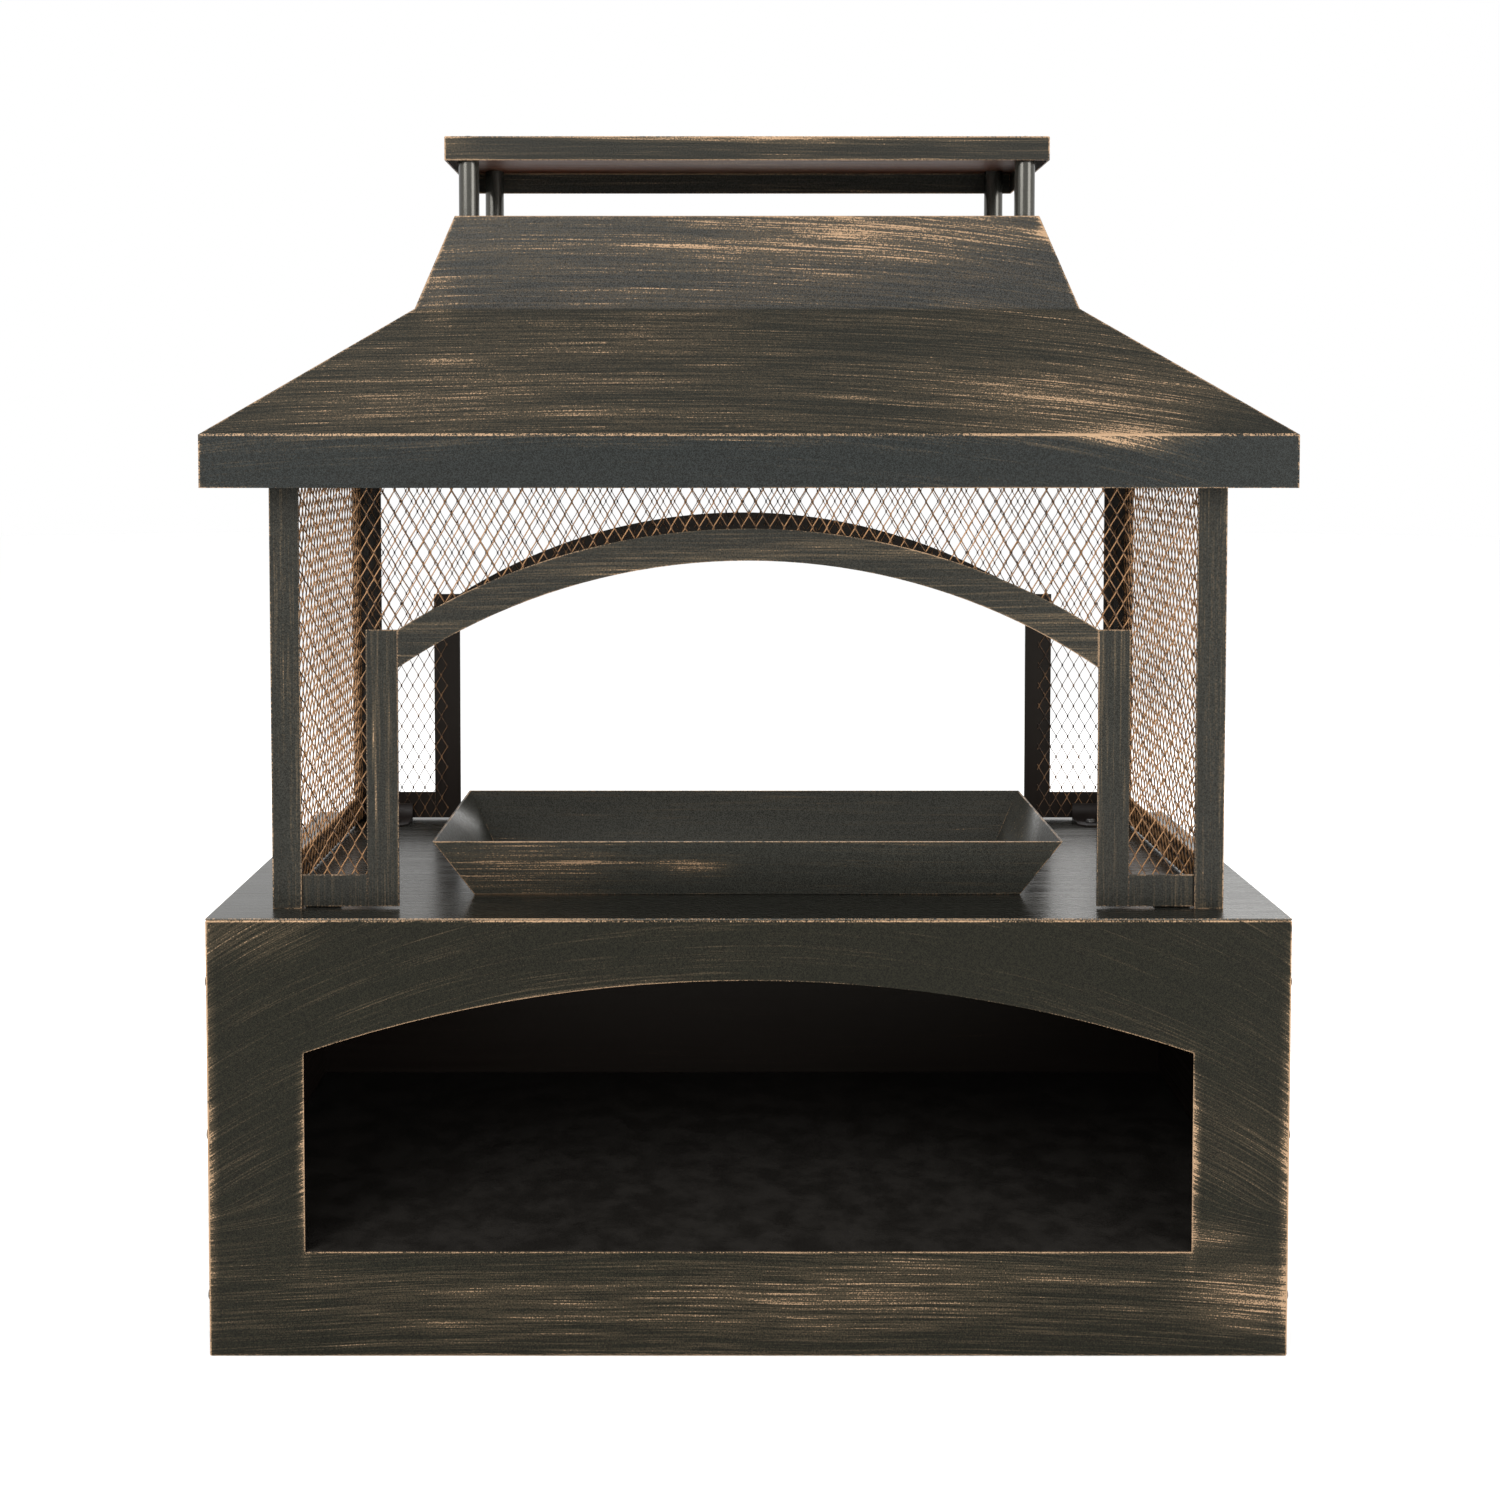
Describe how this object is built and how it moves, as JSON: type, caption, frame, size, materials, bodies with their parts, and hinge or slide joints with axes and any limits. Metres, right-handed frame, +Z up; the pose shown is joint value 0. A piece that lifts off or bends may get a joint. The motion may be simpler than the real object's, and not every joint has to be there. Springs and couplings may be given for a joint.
{
  "type": "chiminea",
  "caption": "Garden fireplace of folded steel: box base with an arched log store, mesh-walled fire chamber with a loose fire pan, hipped hood and raised flat cap.",
  "frame": {"origin": "on the ground under the middle of the base", "axes": "+Z up; -Y points out of the front opening towards the viewer; +X is the viewer's right"},
  "size_m": [0.908, 0.412, 1.0337],
  "materials": {
    "base_paint": "satin charcoal enamel, dry-brushed copper",
    "hearth_paint": "satin charcoal enamel, fine brushing",
    "shelf_paint": "satin charcoal enamel",
    "frame_paint": "satin charcoal enamel, copper-worn edges",
    "inner_paint": "matt charcoal enamel",
    "mesh_paint": "copper-brushed expanded metal",
    "hood_paint": "satin charcoal enamel, dry-brushed copper",
    "cap_paint": "satin charcoal enamel, dry-brushed copper",
    "tube_paint": "satin charcoal enamel, copper speckle",
    "pan_paint": "satin charcoal enamel, copper smears",
    "fixings": "blackened steel"
  },
  "bodies": {
    "fireplace": {"base_front_panel": "base_paint", "base_back_panel": "base_paint", "base_left_panel": "base_paint", "base_right_panel": "base_paint", "log_shelf": "shelf_paint", "hearth_plate": "hearth_paint", "hearth_channel_left": "inner_paint", "hearth_channel_right": "inner_paint", "base_bolts": "fixings", "base_nuts": "fixings", "post_front_left": "frame_paint", "post_front_right": "frame_paint", "post_rear_left": "frame_paint", "post_rear_right": "frame_paint", "front_stile_left": "frame_paint", "front_stile_right": "frame_paint", "front_arch": "frame_paint", "front_foot_rail_left": "frame_paint", "front_foot_rail_right": "frame_paint", "front_top_rail": "frame_paint", "rear_stile_left": "frame_paint", "rear_stile_right": "frame_paint", "rear_arch": "frame_paint", "rear_foot_rail_left": "frame_paint", "rear_foot_rail_right": "frame_paint", "rear_top_rail": "frame_paint", "side_foot_rail_left": "frame_paint", "side_foot_rail_right": "frame_paint", "side_top_rail_left": "frame_paint", "side_top_rail_right": "frame_paint", "front_mesh": "mesh_paint", "rear_mesh": "mesh_paint", "left_mesh": "mesh_paint", "right_mesh": "mesh_paint", "foot_bracket_front_left": "inner_paint", "foot_bracket_front_right": "inner_paint", "foot_bracket_rear_left": "inner_paint", "foot_bracket_rear_right": "inner_paint", "foot_bolts": "fixings", "foot_nuts": "fixings", "hood_front_sheet": "hood_paint", "hood_back_sheet": "hood_paint", "hood_left_sheet": "hood_paint", "hood_right_sheet": "hood_paint", "hood_bracket_front_left": "inner_paint", "hood_bracket_front_right": "inner_paint", "hood_bracket_rear_left": "inner_paint", "hood_bracket_rear_right": "inner_paint", "hood_bolts": "fixings", "hood_nuts": "fixings", "throat_bar_left": "inner_paint", "throat_bar_right": "inner_paint", "cap_tray": "cap_paint", "cap_tube_front_left": "tube_paint", "cap_tube_front_right": "tube_paint", "cap_tube_rear_left": "tube_paint", "cap_tube_rear_right": "tube_paint", "cap_bolts": "fixings"},
    "pan": {"fire_pan": "pan_paint"}
  },
  "joints": [
    {"name": "pan_slide", "type": "slide", "parent": "fireplace", "child": "pan", "axis": [0, -1, 0], "range_m": [-0.11, 0.145]}
  ]
}
